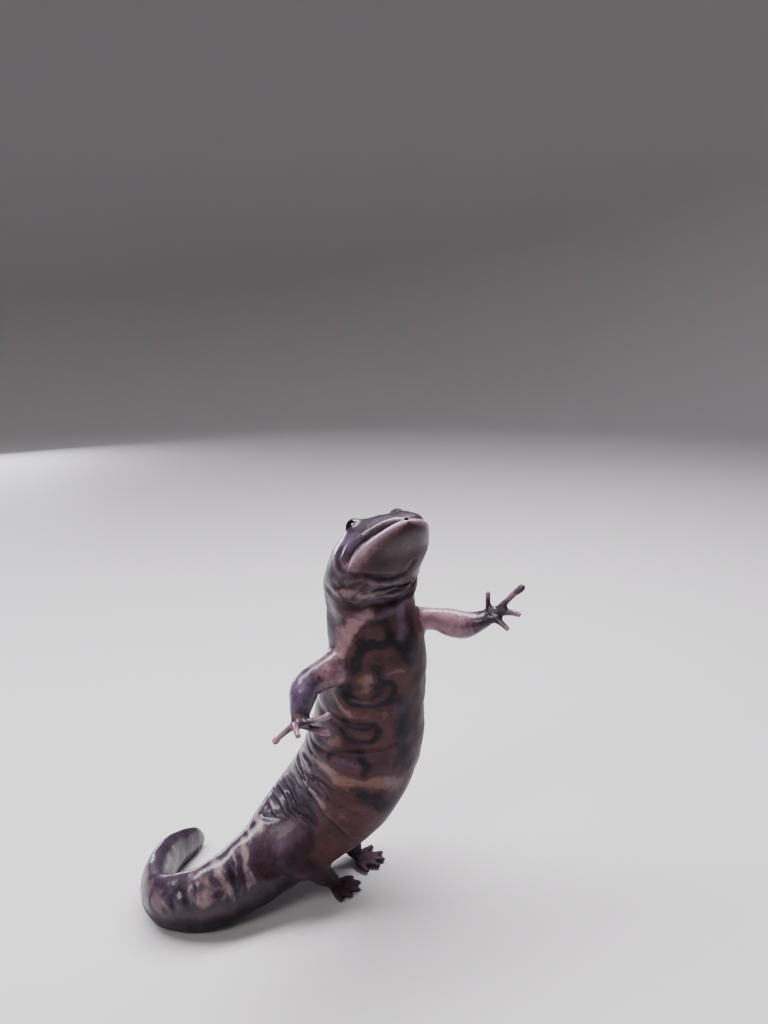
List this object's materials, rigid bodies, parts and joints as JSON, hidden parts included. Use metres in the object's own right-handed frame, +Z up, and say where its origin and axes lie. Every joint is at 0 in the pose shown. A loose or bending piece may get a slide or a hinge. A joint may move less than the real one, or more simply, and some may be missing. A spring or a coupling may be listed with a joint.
{
  "type": "tiger salamander",
  "caption": "Life-size still model of a tiger salamander rearing on its hind feet and curled tail, with splayed fingers and a broad blunt head.",
  "frame": {"origin": "the middle of the box's bottom face, on the floor that the feet and the tail rest on", "axes": "+Z up, which is the longest extent; +Y is the shortest extent; the tail lies towards -X and the animal faces between +X and -Y"},
  "size_m": [0.0946, 0.046, 0.1028],
  "materials": {
    "skin_dark": "wet, smooth dark purple-brown skin with tan bars",
    "skin_belly": "wet, smooth dark brown skin marbled with tan and olive",
    "skin_limbs": "wet, smooth dark brown skin with tan patches",
    "eyes": "very dark, clear and glossy"
  },
  "bodies": {
    "root": {"head": "skin_dark", "neck": "skin_dark", "torso_chest": "skin_belly", "torso_belly": "skin_belly", "torso_hips": "skin_belly", "tail_base": "skin_dark", "tail_middle": "skin_dark", "tail_tip": "skin_dark", "arm_right": "skin_limbs", "arm_left": "skin_limbs", "leg_right": "skin_limbs", "leg_left": "skin_limbs", "eye_left": "eyes", "eye_right": "eyes"}
  },
  "joints": []
}
